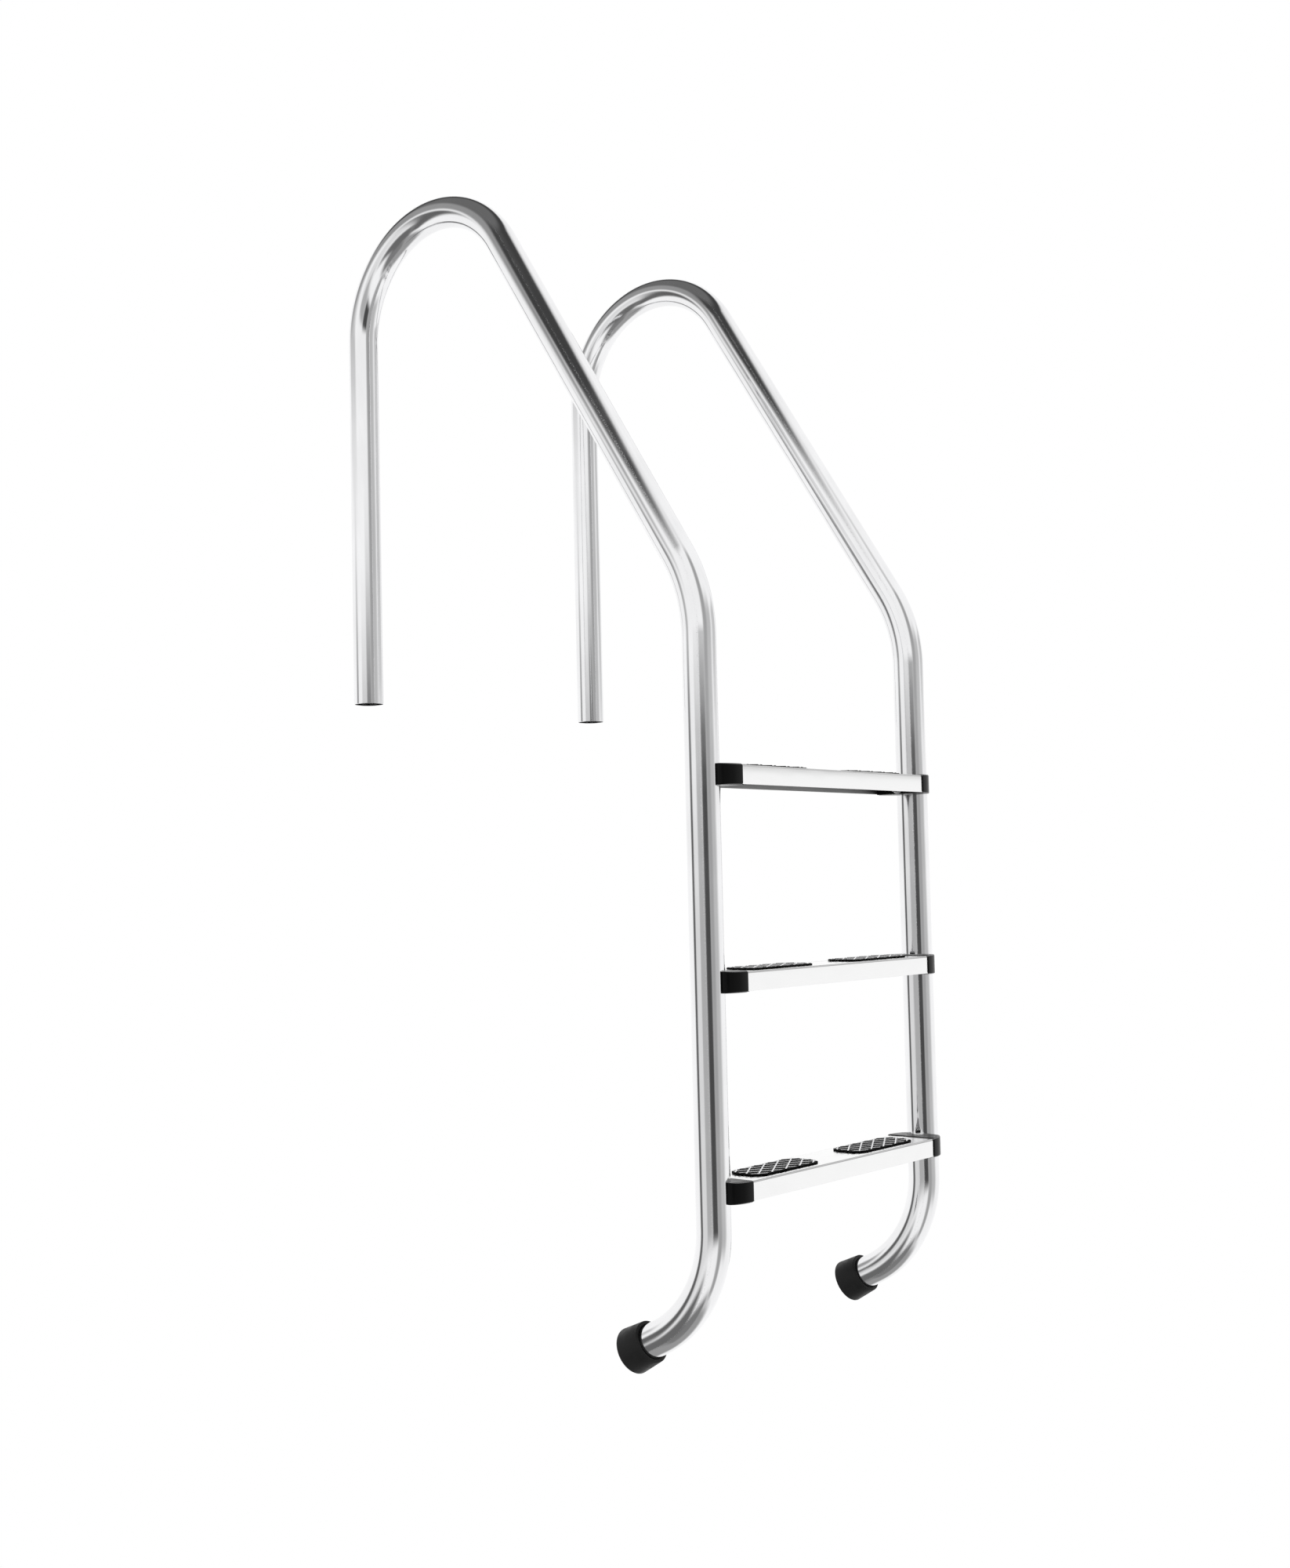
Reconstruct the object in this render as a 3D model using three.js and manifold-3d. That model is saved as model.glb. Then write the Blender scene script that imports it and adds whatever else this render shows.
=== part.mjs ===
// A three-step pool ladder: two bent stainless rails joined by three treads.
// Millimetres, +Z up. The origin is midway between the cut lower ends of the two anchor legs.
// +Y points over the deck, -Y over the water, and X runs along the treads.
import * as THREE from 'three';
import { mergeVertices } from 'three/addons/utils/BufferGeometryUtils.js';
import Module from 'manifold-3d';

const GAP = 0.3; // clearance between pieces that touch

// Side rails, given by the line along the middle of the tube
const RAIL_SPACING = 490;
const TUBE_RADIUS = 21.5;
const TUBE_WALL = 1.2;
const RAIL_REACH = 600; // anchor leg to upright, across the pool edge
const CROWN_RADIUS = 152; // the hand hold
const KNEE_RADIUS = 195;
const KNEE_HEIGHT = 38; // lower end of the knee bend
const LEAN = THREE.MathUtils.degToRad(31.8); // slope of the hand rail from vertical
const TOE_DEPTH = 682; // where the upright starts to curl toward the wall
const TOE_RADIUS = 160;
const TOE_TURN = THREE.MathUtils.degToRad(62);
const TOE_TAIL = 46; // straight end of the tube, inside and behind the foot
const ARC_STEP = THREE.MathUtils.degToRad(12.5);

// Treads
const LEVELS = ['top', 'middle', 'bottom'];
const TOP_TREAD_Z = -123; // stepping face of the top tread
const TREAD_RISE = 252;
const TREAD_DEPTH = 72;
const TREAD_HEIGHT = 24;
const SHEET = 1.5;
const SHEET_BEND = 2.5; // outer radius of the folded edges
const TREAD_INSET = 24; // tube axis to the hidden end of the steel

// End caps. "In" is the distance from the tube axis toward the middle of the ladder.
const CAP_SKIN = 1.2; // how far a cap stands proud of the steel
const CAP_SEAM_IN = 33; // where the cap ends and the bare steel starts
const CAP_PLUG_IN = 38; // inner face of the plug, where the washer sits
const CAP_NOSE_IN = 30; // where the rounded nose starts
const CAP_TIP_IN = 0; // the tips end level with the tube axis
const CAP_TIP_THICKNESS = 0.7;

// Fasteners, one set in each cap
const BOLT_DROP = 16.5; // stepping face down to the bolt axis
const BOLT_RADIUS = 4;
const BOLT_TIP_IN = 10;
const HEAD_ACROSS_FLATS = 13;
const HEAD_HEIGHT = 5.3;
const WASHER_RADIUS = 8;
const WASHER_THICKNESS = 1.6;
const INSERT_RADIUS = 5.5;
const INSERT_FLANGE_RADIUS = 6.5;
const INSERT_FLANGE_THICKNESS = 1.2;
const INSERT_BULGE_RADIUS = 7; // the crimped collar behind the tube wall
const INSERT_END_IN = 7;

// Anti-slip pads, two on each tread
const PAD_OFFSET = 114; // middle of the tread to the middle of a pad
const PAD_LENGTH = 142;
const PAD_DEPTH = 50;
const PAD_CORNER = 18;
const PAD_THICKNESS = 2.4;
const PEG_RADIUS = 3;
const PEG_OFFSET = 42; // middle of a pad to each of its two pegs
const PEG_LENGTH = 5;

// Rubber feet: lengths run along the end of the tube, radii across it
const FOOT_BASE_RADIUS = 29;
const FOOT_RIM_RADIUS = 26.5;
const FOOT_GRIP = 29;
const FOOT_FLOOR = 6;
const FOOT_EDGE = 2;

const STEEL = { color: 0xc9ccce, roughness: 0.22, metalness: 1 };
const ZINC = { color: 0xb4b6b6, roughness: 0.35, metalness: 1 };
const BLACK_PLASTIC = { color: 0x101010, roughness: 0.35, metalness: 0 };
const BLACK_RUBBER = { color: 0x171717, roughness: 0.6, metalness: 0 };

const wasm = await Module();
wasm.setup();

/** A closed three.js geometry as a manifold solid. */
function toSolid(geometry) {
  const bare = geometry.clone();
  bare.deleteAttribute('normal');
  bare.deleteAttribute('uv');
  const merged = mergeVertices(bare, 1e-4);
  const vertProperties = new Float32Array(merged.attributes.position.array);
  const triVerts = new Uint32Array(merged.index.array);
  return new wasm.Manifold(new wasm.Mesh({ numProp: 3, vertProperties, triVerts }));
}

/** A manifold solid as a three.js geometry. */
function toGeometry(solid) {
  const mesh = solid.getMesh();
  const geometry = new THREE.BufferGeometry();
  geometry.setAttribute('position', new THREE.BufferAttribute(mesh.vertProperties, 3));
  geometry.setIndex(new THREE.BufferAttribute(mesh.triVerts, 1));
  geometry.computeVertexNormals();
  return geometry;
}

/** A box between two corners. */
function boxBetween(low, high) {
  const size = new THREE.Vector3().subVectors(high, low);
  const middle = new THREE.Vector3().addVectors(low, high).multiplyScalar(0.5);
  return new THREE.BoxGeometry(size.x, size.y, size.z).translate(middle.x, middle.y, middle.z);
}

/** A round or many-sided bar along X, from one X to another, at height z. */
function barAlongX(radius, from, to, z, sides = 12) {
  const bar = new THREE.CylinderGeometry(radius, radius, Math.abs(to - from), sides);
  return bar.rotateZ(Math.PI / 2).translate((from + to) / 2, 0, z);
}

/** A turned piece along X: the profile's points are (radius, X) and close on themselves. */
function turnedAlongX(profile, sides, z) {
  const points = [...profile, profile[0]].map(([radius, x]) => new THREE.Vector2(radius, x));
  return new THREE.LatheGeometry(points, sides).rotateZ(-Math.PI / 2).translate(0, 0, z);
}

/** The line along the middle of a bent tube, made of straights and arcs in the YZ plane. */
class BentLine extends THREE.Curve {
  constructor() {
    super();
    this.heading = 0; // turned from straight up toward -Y
    this.stations = [{ point: new THREE.Vector3(), tangent: this.direction() }];
  }

  direction() {
    return new THREE.Vector3(0, -Math.sin(this.heading), Math.cos(this.heading));
  }

  get end() {
    return this.stations[this.stations.length - 1];
  }

  straight(length) {
    const tangent = this.direction();
    const point = this.end.point.clone().addScaledVector(tangent, length);
    this.stations.push({ point, tangent });
    return this;
  }

  bend(radius, angle) {
    const steps = Math.ceil(angle / ARC_STEP);
    const start = this.heading;
    const from = this.end.point.clone();
    for (let i = 1; i <= steps; i += 1) {
      this.heading = start + (angle * i) / steps;
      const dy = radius * (Math.cos(this.heading) - Math.cos(start));
      const dz = radius * (Math.sin(this.heading) - Math.sin(start));
      const point = new THREE.Vector3(from.x, from.y + dy, from.z + dz);
      this.stations.push({ point, tangent: this.direction() });
    }
    return this;
  }

  // Each station is one step of an extrusion, however far apart they lie.
  getUtoTmapping(u) {
    return u;
  }

  getPoint(t) {
    return this.blend(t, 'point');
  }

  getTangent(t) {
    return this.blend(t, 'tangent').normalize();
  }

  blend(t, what) {
    const place = t * (this.stations.length - 1);
    const index = Math.min(Math.floor(place + 1e-9), this.stations.length - 2);
    const [a, b] = [this.stations[index][what], this.stations[index + 1][what]];
    return new THREE.Vector3().lerpVectors(a, b, place - index);
  }
}

/** One rail's line, from the cut end of the anchor leg to the end inside the foot. */
function railLine() {
  const kneeReach = KNEE_RADIUS * (1 - Math.cos(LEAN));
  const crownReach = CROWN_RADIUS * (1 + Math.cos(LEAN));
  const slope = (RAIL_REACH - kneeReach - crownReach) / Math.sin(LEAN);
  const kneeTop = KNEE_HEIGHT + KNEE_RADIUS * Math.sin(LEAN);
  const legLength = kneeTop + slope * Math.cos(LEAN) - CROWN_RADIUS * Math.sin(LEAN);
  return new BentLine()
    .straight(legLength)
    .bend(CROWN_RADIUS, Math.PI - LEAN)
    .straight(slope)
    .bend(KNEE_RADIUS, LEAN)
    .straight(KNEE_HEIGHT + TOE_DEPTH)
    .bend(TOE_RADIUS, TOE_TURN)
    .straight(TOE_TAIL);
}

const levelZ = (level) => TOP_TREAD_Z - TREAD_RISE * level;

/** A bent tube with a hole for each insert. inward is +1 where the treads lie toward +X. */
function railGeometry(line, inward) {
  const section = new THREE.Shape().absarc(0, 0, TUBE_RADIUS, 0, 2 * Math.PI);
  section.holes.push(new THREE.Path().absarc(0, 0, TUBE_RADIUS - TUBE_WALL, 0, 2 * Math.PI));
  const steps = line.stations.length - 1;
  const options = { extrudePath: line, steps, curveSegments: 10, bevelEnabled: false };
  let tube = toSolid(new THREE.ExtrudeGeometry(section, options));
  LEVELS.forEach((name, level) => {
    const hole = barAlongX(INSERT_RADIUS + GAP, 0, inward * TUBE_RADIUS * 1.2, levelZ(level) - BOLT_DROP);
    tube = tube.subtract(toSolid(hole.translate(0, -RAIL_REACH, 0)));
  });
  return toGeometry(tube);
}

/** The tread's section in (Y, Z), grown outward and inward by a clearance, stepping face at Z = 0. */
function channelSection(clearance = 0) {
  const outer = TREAD_DEPTH / 2 + clearance;
  const inner = TREAD_DEPTH / 2 - SHEET - clearance;
  const outerBend = SHEET_BEND + clearance;
  const innerBend = SHEET_BEND - SHEET - clearance;
  const top = clearance;
  const ceiling = -SHEET - clearance;
  const floor = -TREAD_HEIGHT - clearance;
  const quarter = Math.PI / 2;
  const shape = new THREE.Shape();
  shape.moveTo(inner, floor);
  shape.lineTo(outer, floor);
  shape.absarc(outer - outerBend, top - outerBend, outerBend, 0, quarter);
  shape.absarc(outerBend - outer, top - outerBend, outerBend, quarter, 2 * quarter);
  shape.lineTo(-outer, floor);
  shape.lineTo(-inner, floor);
  shape.absarc(innerBend - inner, ceiling - innerBend, innerBend, 2 * quarter, quarter, true);
  shape.absarc(inner - innerBend, ceiling - innerBend, innerBend, quarter, 0, true);
  return shape;
}

/** The folded channel along X between two X values, stepping face at Z = 0. */
function channelAlongX(from, to, clearance) {
  const options = { depth: to - from, bevelEnabled: false, curveSegments: 2 };
  const channel = new THREE.ExtrudeGeometry(channelSection(clearance), options);
  const turn = new THREE.Matrix4().makeBasis(
    new THREE.Vector3(0, 1, 0),
    new THREE.Vector3(0, 0, 1),
    new THREE.Vector3(1, 0, 0),
  );
  return channel.applyMatrix4(turn).translate(from, 0, 0);
}

/** A tread: a folded channel, open below, with a hole for each pad's pegs. */
function treadGeometry() {
  const end = RAIL_SPACING / 2 - TREAD_INSET;
  let tread = toSolid(channelAlongX(-end, end));
  for (const pad of [-PAD_OFFSET, PAD_OFFSET]) {
    for (const peg of [-PEG_OFFSET, PEG_OFFSET]) {
      const hole = new THREE.CylinderGeometry(PEG_RADIUS + GAP, PEG_RADIUS + GAP, 3 * SHEET, 12);
      tread = tread.subtract(toSolid(hole.rotateX(Math.PI / 2).translate(pad + peg, 0, -SHEET / 2)));
    }
  }
  return toGeometry(tread);
}

/** A cap's outline from above: flat beside the steel, rounded noses, and a saddle for the tube. */
function capOutline() {
  const half = TREAD_DEPTH / 2 + CAP_SKIN;
  const saddle = TUBE_RADIUS + GAP;
  const tipAngle = Math.acos(CAP_TIP_IN / saddle);
  const tip = saddle * Math.sin(tipAngle) + CAP_TIP_THICKNESS;
  const noseLength = CAP_NOSE_IN - CAP_TIP_IN;
  const noseDepth = half - tip;
  const shape = new THREE.Shape();
  shape.moveTo(CAP_SEAM_IN, half);
  shape.lineTo(CAP_SEAM_IN, -half);
  shape.absellipse(CAP_NOSE_IN, -tip, noseLength, noseDepth, -Math.PI / 2, -Math.PI, true);
  shape.absarc(0, 0, saddle, -tipAngle, tipAngle);
  shape.absellipse(CAP_NOSE_IN, tip, noseLength, noseDepth, Math.PI, Math.PI / 2, true);
  return shape;
}

/** An end cap, tube axis at X = 0 and stepping face at Z = 0, with its plug toward +X. */
function capGeometry() {
  const top = CAP_SKIN;
  const bottom = -TREAD_HEIGHT - CAP_SKIN;
  const options = { depth: top - bottom, bevelEnabled: false, curveSegments: 8 };
  const body = new THREE.ExtrudeGeometry(capOutline(), options).translate(0, 0, bottom);
  const plugHalf = TREAD_DEPTH / 2 - SHEET - GAP;
  const plug = boxBetween(
    new THREE.Vector3(CAP_SEAM_IN - 2, -plugHalf, bottom),
    new THREE.Vector3(CAP_PLUG_IN, plugHalf, -SHEET - GAP),
  );
  const slot = channelAlongX(TREAD_INSET - GAP, CAP_PLUG_IN + 1, GAP);
  const boltHole = barAlongX(BOLT_RADIUS + GAP, 0, CAP_PLUG_IN + 1, -BOLT_DROP);
  const flangeEnd = TUBE_RADIUS + 2 * GAP + INSERT_FLANGE_THICKNESS;
  const pocket = barAlongX(INSERT_FLANGE_RADIUS + GAP, 0, flangeEnd, -BOLT_DROP);
  let cap = toSolid(body).add(toSolid(plug));
  for (const cut of [slot, boltHole, pocket]) {
    cap = cap.subtract(toSolid(cut));
  }
  return toGeometry(cap);
}

/** A threaded insert crimped in the rail's wall, bore along X. */
function insertGeometry() {
  const bore = BOLT_RADIUS + GAP;
  const seat = TUBE_RADIUS + GAP;
  const wallInside = TUBE_RADIUS - TUBE_WALL;
  const bulgeEnd = Math.sqrt(wallInside ** 2 - INSERT_BULGE_RADIUS ** 2) - GAP;
  const profile = [
    [bore, INSERT_END_IN],
    [INSERT_RADIUS, INSERT_END_IN],
    [INSERT_RADIUS, bulgeEnd - 3],
    [INSERT_BULGE_RADIUS, bulgeEnd - 2],
    [INSERT_BULGE_RADIUS, bulgeEnd],
    [INSERT_RADIUS, bulgeEnd],
    [INSERT_RADIUS, seat],
    [INSERT_FLANGE_RADIUS, seat],
    [INSERT_FLANGE_RADIUS, seat + INSERT_FLANGE_THICKNESS],
    [bore, seat + INSERT_FLANGE_THICKNESS],
  ];
  return turnedAlongX(profile, 12, -BOLT_DROP);
}

/** A plain washer against the plug's inner face. */
function washerGeometry() {
  const from = CAP_PLUG_IN + GAP;
  const to = from + WASHER_THICKNESS;
  const bore = BOLT_RADIUS + GAP;
  return turnedAlongX([[bore, from], [WASHER_RADIUS, from], [WASHER_RADIUS, to], [bore, to]], 16, -BOLT_DROP);
}

/** A hexagon bolt from inside the tread, through the cap, into the insert. */
function boltGeometry() {
  const headFrom = CAP_PLUG_IN + WASHER_THICKNESS + 2 * GAP;
  const headRadius = HEAD_ACROSS_FLATS / 2 / Math.cos(Math.PI / 6);
  const shank = barAlongX(BOLT_RADIUS, BOLT_TIP_IN, headFrom + HEAD_HEIGHT / 2, -BOLT_DROP);
  const head = barAlongX(headRadius, headFrom, headFrom + HEAD_HEIGHT, -BOLT_DROP, 6);
  return toGeometry(toSolid(shank).add(toSolid(head)));
}

/** A rounded oblong pad with two pegs that press through the tread. */
function padGeometry() {
  const [x, y] = [PAD_LENGTH / 2 - PAD_CORNER, PAD_DEPTH / 2 - PAD_CORNER];
  const quarter = Math.PI / 2;
  const outline = new THREE.Shape();
  [[x, y], [-x, y], [-x, -y], [x, -y]].forEach(([cx, cy], corner) => {
    outline.absarc(cx, cy, PAD_CORNER, corner * quarter, (corner + 1) * quarter);
  });
  const options = { depth: PAD_THICKNESS, bevelEnabled: false, curveSegments: 3 };
  let pad = toSolid(new THREE.ExtrudeGeometry(outline, options).translate(0, 0, GAP));
  for (const offset of [-PEG_OFFSET, PEG_OFFSET]) {
    const peg = new THREE.CylinderGeometry(PEG_RADIUS, PEG_RADIUS, PEG_LENGTH, 10).rotateX(Math.PI / 2);
    pad = pad.add(toSolid(peg.translate(offset, 0, PAD_THICKNESS / 2 + GAP - PEG_LENGTH / 2)));
  }
  return toGeometry(pad);
}

/** A rubber cup. The tube's end is at Z = 0 and the tube comes in from +Z. */
function footGeometry() {
  const bore = TUBE_RADIUS + GAP;
  const profile = [
    [0, -GAP],
    [bore, -GAP],
    [bore, FOOT_GRIP],
    [FOOT_RIM_RADIUS - FOOT_EDGE / 2, FOOT_GRIP],
    [FOOT_RIM_RADIUS, FOOT_GRIP - FOOT_EDGE],
    [FOOT_BASE_RADIUS, FOOT_EDGE - FOOT_FLOOR],
    [FOOT_BASE_RADIUS - FOOT_EDGE, -FOOT_FLOOR],
    [0, -FOOT_FLOOR],
  ];
  const points = profile.map(([radius, along]) => new THREE.Vector2(radius, along)).reverse();
  return new THREE.LatheGeometry(points, 20).rotateX(Math.PI / 2);
}

/** A named mesh with a material of its own. */
function piece(name, geometry, look) {
  const mesh = new THREE.Mesh(geometry, new THREE.MeshStandardMaterial(look));
  mesh.name = name;
  return mesh;
}

/** A rail and its foot. side is -1 for left, +1 for right. */
function railAssembly(side, word) {
  const line = railLine();
  const foot = piece(`${word}_foot`, footGeometry(), BLACK_RUBBER);
  foot.position.copy(line.end.point);
  foot.quaternion.setFromUnitVectors(new THREE.Vector3(0, 0, -1), line.end.tangent);
  const group = new THREE.Group();
  group.add(piece(`${word}_rail`, railGeometry(line, -side), STEEL), foot);
  group.position.x = (side * RAIL_SPACING) / 2;
  return group;
}

/** The cap and fasteners at one end of a tread, turned to face that end's rail. */
function treadEnd(side, prefix) {
  const group = new THREE.Group();
  group.add(
    piece(`${prefix}_cap`, capGeometry(), BLACK_PLASTIC),
    piece(`${prefix}_bolt`, boltGeometry(), ZINC),
    piece(`${prefix}_washer`, washerGeometry(), ZINC),
    piece(`${prefix}_rail_insert`, insertGeometry(), ZINC),
  );
  group.position.x = (side * RAIL_SPACING) / 2;
  group.rotation.z = side > 0 ? Math.PI : 0;
  return group;
}

/** One tread with its pads, caps and fasteners. */
function treadAssembly(levelName, level) {
  const group = new THREE.Group();
  group.add(piece(`${levelName}_tread`, treadGeometry(), STEEL));
  for (const [side, word] of [[-1, 'left'], [1, 'right']]) {
    const pad = piece(`${levelName}_${word}_pad`, padGeometry(), BLACK_PLASTIC);
    pad.position.x = side * PAD_OFFSET;
    group.add(pad, treadEnd(side, `${levelName}_${word}`));
  }
  group.position.set(0, -RAIL_REACH, levelZ(level));
  return group;
}

const ladder = new THREE.Group();
ladder.add(railAssembly(-1, 'left'), railAssembly(1, 'right'));
LEVELS.forEach((name, level) => ladder.add(treadAssembly(name, level)));

export default ladder;
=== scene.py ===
"""The looks of a pool ladder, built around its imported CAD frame. Metres, +Z up."""

import math

import bmesh
import bpy
from mathutils import Matrix, Vector


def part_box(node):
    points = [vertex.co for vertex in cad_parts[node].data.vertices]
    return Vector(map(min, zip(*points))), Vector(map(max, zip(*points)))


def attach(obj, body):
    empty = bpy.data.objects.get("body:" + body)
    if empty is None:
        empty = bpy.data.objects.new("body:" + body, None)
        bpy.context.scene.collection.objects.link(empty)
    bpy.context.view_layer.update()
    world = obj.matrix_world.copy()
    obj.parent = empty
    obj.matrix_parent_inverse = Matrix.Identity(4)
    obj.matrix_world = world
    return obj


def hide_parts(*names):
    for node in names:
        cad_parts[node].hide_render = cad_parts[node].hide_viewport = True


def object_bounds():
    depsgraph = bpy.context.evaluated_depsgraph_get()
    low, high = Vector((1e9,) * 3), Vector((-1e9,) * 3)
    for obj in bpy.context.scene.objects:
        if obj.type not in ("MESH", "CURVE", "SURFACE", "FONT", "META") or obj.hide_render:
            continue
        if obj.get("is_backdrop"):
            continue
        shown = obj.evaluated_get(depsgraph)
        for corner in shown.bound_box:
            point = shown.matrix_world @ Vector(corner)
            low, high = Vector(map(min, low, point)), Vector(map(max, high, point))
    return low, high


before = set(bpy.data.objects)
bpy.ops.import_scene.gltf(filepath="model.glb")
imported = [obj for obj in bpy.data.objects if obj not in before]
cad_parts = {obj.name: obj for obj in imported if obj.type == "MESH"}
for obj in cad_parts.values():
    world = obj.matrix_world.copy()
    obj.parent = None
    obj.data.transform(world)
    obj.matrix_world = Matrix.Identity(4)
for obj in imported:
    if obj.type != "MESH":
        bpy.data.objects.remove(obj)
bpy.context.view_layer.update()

MM = 0.001
GAP = 0.3 * MM  # clearance between pieces that touch
MERGE_DISTANCE = 1e-7
MIN_RADIUS = 1e-6  # stands in for a point on a turning axis
HOLE_SIDES = 32
LEVELS = ("top", "middle", "bottom")
SIDES = {"left": -1, "right": 1}

# Side rails
CROWN_RADIUS = 152 * MM
KNEE_RADIUS = 195 * MM
KNEE_HEIGHT = 38 * MM
LEAN = math.radians(31.8)
TOE_DEPTH = 682 * MM
TOE_RADIUS = 160 * MM
TOE_TURN = math.radians(62)
TOE_TAIL = 46 * MM
TUBE_WALL = 1.2 * MM
TUBE_LIP = 0.3 * MM  # rounding of the cut ends
TUBE_SIDES = 96
ARC_STEP = math.radians(2)  # longest turn between two rings of a bend
WELD_ANGLE = math.radians(148)  # of the weld, round the tube from +X toward the bends' outside

# Treads and their end caps. "In" is the distance from the tube axis toward the ladder's middle.
SHEET = 1.5 * MM
SHEET_BEND = 2.5 * MM
SHEET_EDGE = 0.4 * MM
BEND_STEPS = 8
CAP_SKIN = 1.2 * MM
CAP_SEAM_IN = 33 * MM
CAP_PLUG_IN = 38 * MM
CAP_NOSE_IN = 30 * MM
CAP_TIP_IN = 0 * MM
CAP_TIP_THICKNESS = 0.7 * MM
CAP_RIM = 2 * MM  # rounding of the upper and lower rims
CAP_CORNER = 3.4 * MM  # rounding of the corners at the seam
CAP_ROUND_STEPS = 12
PLUG_ROOT = 4 * MM  # how far the plug reaches back into the cap
PLUG_LIFT = 0.4 * MM  # the plug's lower face above the cap's
CUT_PAST = 2 * MM  # how far a cutter runs past the piece
TREAD_INSET = 24 * MM

# Fasteners
BOLT_DROP = 16.5 * MM
BOLT_RADIUS = 4 * MM
BOLT_TIP_IN = 10 * MM
BOLT_TIP_CHAMFER = 0.8 * MM
BOLT_SIDES = 72
HEAD_ACROSS_FLATS = 13 * MM
HEAD_HEIGHT = 5.3 * MM
HEAD_CHAMFER = 0.8 * MM
HEAD_CORNER = 1.135  # the head's trimmed corners, as a share of half its width across flats
WASHER_RADIUS = 8 * MM
WASHER_THICKNESS = 1.6 * MM
WASHER_EDGE = 0.25 * MM
INSERT_RADIUS = 5.5 * MM
INSERT_FLANGE_RADIUS = 6.5 * MM
INSERT_FLANGE_THICKNESS = 1.2 * MM
INSERT_BULGE_RADIUS = 7 * MM
INSERT_END_IN = 7 * MM

# Anti-slip pads
PAD_CORNER = 18 * MM
PAD_CORNER_STEPS = 12
PAD_SLAB = 1.6 * MM
RIB_SPACING = 15 * MM
RIB_SLANT = math.radians(30)
RIB_HALF_WIDTH = 1.4 * MM
RIB_HEIGHT = 0.8 * MM
STUD_HEIGHT = 0.25 * MM
STUD_HALF_SIZE = 0.3  # as a share of a cell
LATTICE_CELLS = range(-6, 6)
LATTICE_INSET = 1.3 * MM
PEG_RADIUS = 3 * MM
PEG_OFFSET = 42 * MM
PEG_LENGTH = 5 * MM
PEG_ROOT = 1.2 * MM  # how far a peg reaches up into the pad

# Feet
FOOT_GRIP = 29 * MM
FOOT_FLOOR = 6 * MM
FOOT_BASE_RADIUS = 29 * MM
FOOT_RIM_RADIUS = 26.5 * MM
FOOT_ROUND = 1.8 * MM
FOOT_LIP = 1.5 * MM
FOOT_SIDES = 96

# Camera, in metres and degrees. The yaw turns from +Y toward +X.
CAMERA_PLACE = (-2.0089, -1.9411, -0.2633)
CAMERA_YAW = 48.455
CAMERA_PITCH = 3.127
CAMERA_ROLL = -1.205
CAMERA_LENS_MM = 41.62
CAMERA_SHIFT = 0.05

# Studio, in metres and degrees. Azimuth turns from +X toward +Y.
FLOOR_DROP = 1 * MM
FLOOR_RADIUS = 5.0
SWEEP_RADIUS = 2.5
BACKDROP_HEIGHT = 9.0
BACKDROP_TONE = 1.0
LIGHT_PLACE = (-0.8, -0.8, 4.0)
LIGHT_WIDTH = 5.0
LIGHT_WATTS = 190
WALL_TONE = 1.06
CEILING_TONE = 0.5
CEILING_FADE = (58.0, 76.0)  # elevations between which the wall goes over into the ceiling
CARD_AIM = (130.0, 68.0)  # azimuth and elevation of the dark card over the ladder
CARD_TONES = (0.16, 0.06)  # in its middle and toward its edge
CARD_SHADING = (22.0, 34.0)  # angles from its middle between which the tone changes
CARD_EDGE = (39.0, 46.0)  # angles from its middle between which the card fades out
# (azimuth, elevation, half width, half height, side softness, end softness, tone)
STRIPS = [
    (-75.0, 0.0, 20.0, 26.0, 12.0, 9.0, 0.58),
    (-170.0, -8.0, 52.0, 11.0, 10.0, 5.0, 0.82),
    (-100.0, 0.0, 13.0, 56.0, 7.0, 8.0, 0.42),
    (-167.0, -4.0, 17.0, 10.0, 5.0, 4.0, 0.5),
    (-130.0, -4.0, 17.0, 12.0, 7.0, 5.0, 0.08),
    (130.0, 30.0, 28.0, 14.0, 8.0, 6.0, 0.34),
    (134.0, -22.0, 9.0, 30.0, 5.0, 6.0, 0.13),
    (-28.0, 12.0, 17.0, 7.0, 6.0, 3.0, 0.66),
    (0.0, -78.0, 200.0, 18.0, 1.0, 8.0, 0.36),
    (-160.0, -68.0, 45.0, 18.0, 12.0, 8.0, 0.22),
    (162.0, -44.0, 24.0, 19.0, 9.0, 7.0, 0.16),
]


def span(node, axis):
    """Lowest and highest coordinate of a CAD node along an axis, 0 to 2."""
    low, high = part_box(node)
    return low[axis], high[axis]


def extent(node, axis):
    """Size of a CAD node along an axis."""
    low, high = span(node, axis)
    return high - low


RAIL_X = sum(span("right_rail", 0)) / 2
TUBE_RADIUS = extent("right_rail", 0) / 2
REACH = -span("right_rail", 1)[0] - TUBE_RADIUS
TREAD_DEPTH = extent("top_tread", 1)
TREAD_HEIGHT = extent("top_tread", 2)
TREAD_END = span("top_tread", 0)[1]
PAD_LENGTH = extent("top_left_pad", 0)
PAD_DEPTH = extent("top_left_pad", 1)
PAD_X = sum(span("top_right_pad", 0)) / 2
STEP_Z = {level: span(f"{level}_tread", 2)[1] for level in LEVELS}
X_TO_Z = Matrix.Rotation(-math.pi / 2, 4, "Y")
TO_BOLT = Matrix.Translation((0, 0, -BOLT_DROP))  # from the stepping face's level to the bolt's


# Mesh tools


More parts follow.
